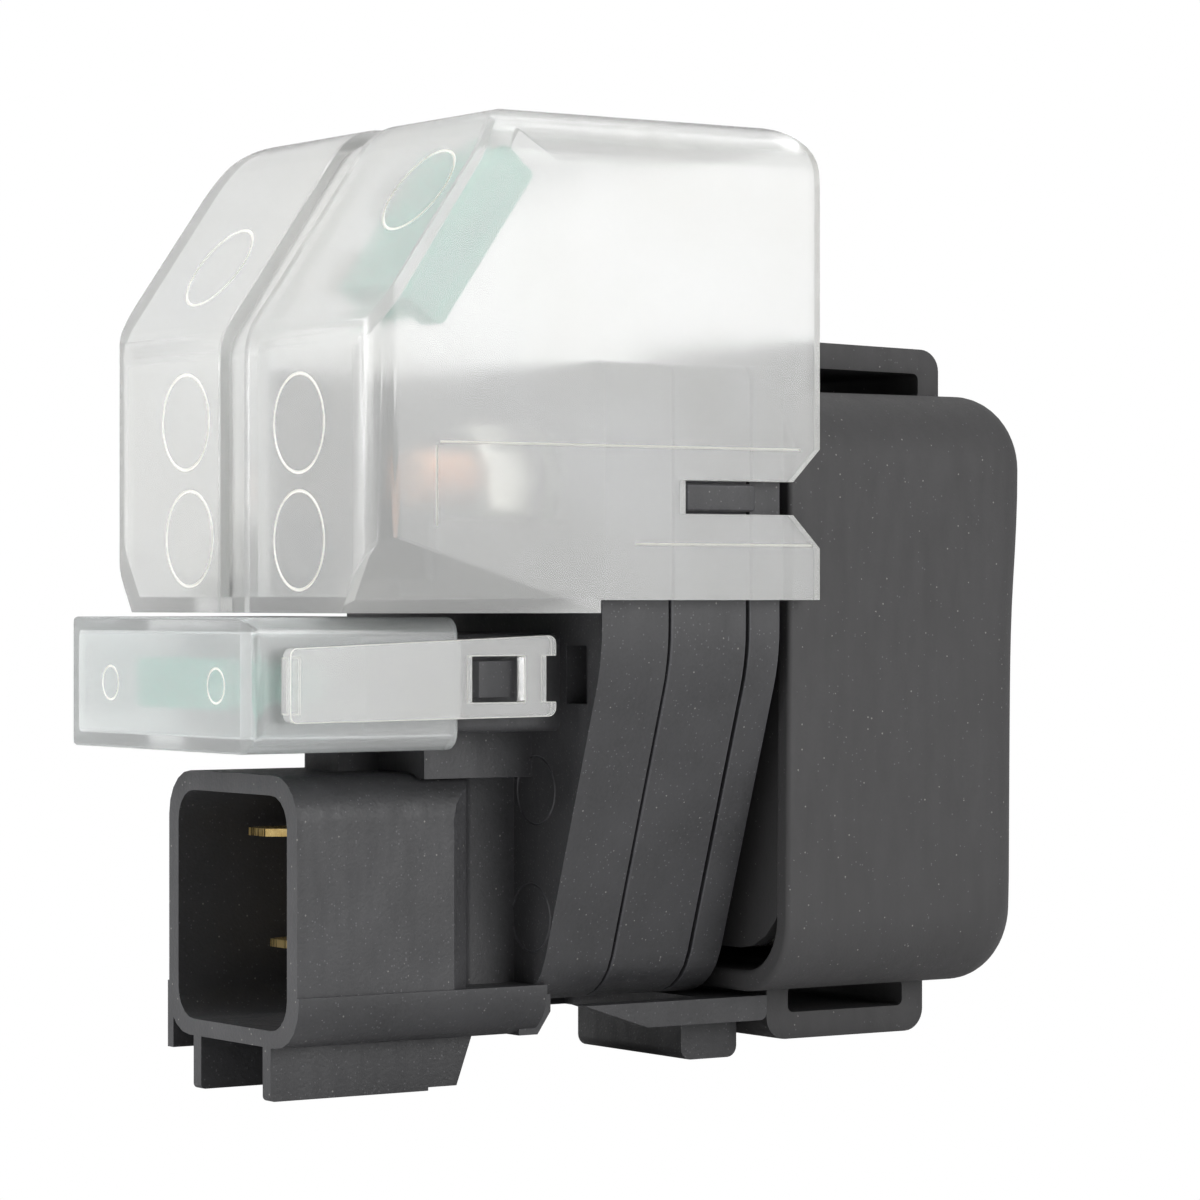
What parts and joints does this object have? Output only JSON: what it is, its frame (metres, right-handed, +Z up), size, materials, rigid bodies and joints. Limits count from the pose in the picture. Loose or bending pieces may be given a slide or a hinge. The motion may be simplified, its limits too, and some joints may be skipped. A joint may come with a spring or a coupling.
{
  "type": "starter relay with fuse holder",
  "caption": "Plug-in motorcycle starter relay: black contactor with blade-fuse holder, connector socket and clear terminal cover, hung in a rubber boot.",
  "frame": {"origin": "middle of the face under the upper strap of the rubber boot, which bears on the bracket tab that the relay hangs from", "axes": "+Z up, +X along the solenoid axis from the connector and covers towards the closed end of the rubber boot, +Y across, away from the side where the spare fuse is kept"},
  "size_m": [0.0942, 0.054, 0.099],
  "materials": {
    "clear_cover": "translucent natural polypropylene, faintly ribbed",
    "black_moulding": "black glass-filled nylon with a fine sparkle",
    "rubber": "soft black rubber, matte",
    "green_fuse": "translucent green, the colour code of a 30 A blade fuse",
    "fuse_zinc": "plain zinc alloy strip",
    "brass": "stamped brass, lightly tarnished",
    "copper": "copper, bare",
    "zinc_steel": "zinc-plated steel",
    "spring_steel": "spring steel",
    "natural_nylon": "undyed nylon",
    "enamelled_wire": "wound enamelled copper wire under varnish"
  },
  "bodies": {
    "relay": {"main_fuse_body": "green_fuse", "main_fuse_element": "fuse_zinc", "housing_front": "black_moulding", "housing_middle": "black_moulding", "housing_rear": "black_moulding", "housing_clasp": "black_moulding", "output_blade_near": "brass", "output_blade_far": "brass", "coil_blade_near": "brass", "coil_blade_far": "brass", "fuse_clip_near": "brass", "fuse_clip_far": "brass", "fixed_core": "zinc_steel", "return_spring": "spring_steel", "coil_bobbin": "natural_nylon", "coil_winding": "enamelled_wire", "flux_plate": "zinc_steel", "solenoid_can": "zinc_steel", "rubber_boot": "rubber", "boot_mouth_seal": "rubber", "terminal_stud_near": "copper", "fixed_contact_near": "copper", "flat_washer_near": "zinc_steel", "spring_washer_near": "spring_steel", "terminal_stud_far": "copper", "fixed_contact_far": "copper", "flat_washer_far": "zinc_steel", "spring_washer_far": "spring_steel"},
    "terminal_cover": {"terminal_cover": "clear_cover", "spare_fuse_body": "green_fuse", "spare_fuse_element": "fuse_zinc"},
    "fuse_cover": {"fuse_cover": "clear_cover"},
    "latch_arm_near": {"latch_arm_near": "clear_cover"},
    "latch_arm_far": {"latch_arm_far": "clear_cover"},
    "plunger": {"contact_bridge": "copper", "contact_retainer": "spring_steel", "contact_spring": "spring_steel", "plunger_rod": "zinc_steel", "plunger": "zinc_steel"},
    "terminal_nut_near": {"terminal_nut_near": "zinc_steel"},
    "terminal_nut_far": {"terminal_nut_far": "zinc_steel"}
  },
  "joints": [
    {"name": "terminal_cover_slide", "type": "slide", "parent": "relay", "child": "terminal_cover", "axis": [-1, 0, 0], "range_m": [0, 0.05]},
    {"name": "fuse_cover_slide", "type": "slide", "parent": "relay", "child": "fuse_cover", "axis": [-1, 0, 0], "range_m": [0, 0.012]},
    {"name": "latch_arm_near_flex", "type": "hinge", "parent": "fuse_cover", "child": "latch_arm_near", "pos_m": [-0.07485, -0.02035, -0.033], "axis": [0, 0, -1], "range_deg": [0, 8.6]},
    {"name": "latch_arm_far_flex", "type": "hinge", "parent": "fuse_cover", "child": "latch_arm_far", "pos_m": [-0.07485, 0.02035, -0.033], "axis": [0, 0, 1], "range_deg": [0, 8.6]},
    {"name": "plunger_slide", "type": "slide", "parent": "relay", "child": "plunger", "axis": [-1, 0, 0], "range_m": [0, 0.002], "stiffness_N_per_m": 800, "deforming": ["return_spring"]},
    {"name": "terminal_nut_near_spin", "type": "hinge", "parent": "relay", "child": "terminal_nut_near", "pos_m": [-0.04835, -0.0115, -0.0128], "axis": [1, 0, 0], "continuous": true},
    {"name": "terminal_nut_far_spin", "type": "hinge", "parent": "relay", "child": "terminal_nut_far", "pos_m": [-0.04835, 0.0115, -0.0128], "axis": [1, 0, 0], "continuous": true}
  ],
  "couplings": [
    {"joint": "latch_arm_near_flex", "follows": "fuse_cover_slide", "rad_per_m": 12.2},
    {"joint": "latch_arm_far_flex", "follows": "fuse_cover_slide", "rad_per_m": 12.2}
  ]
}
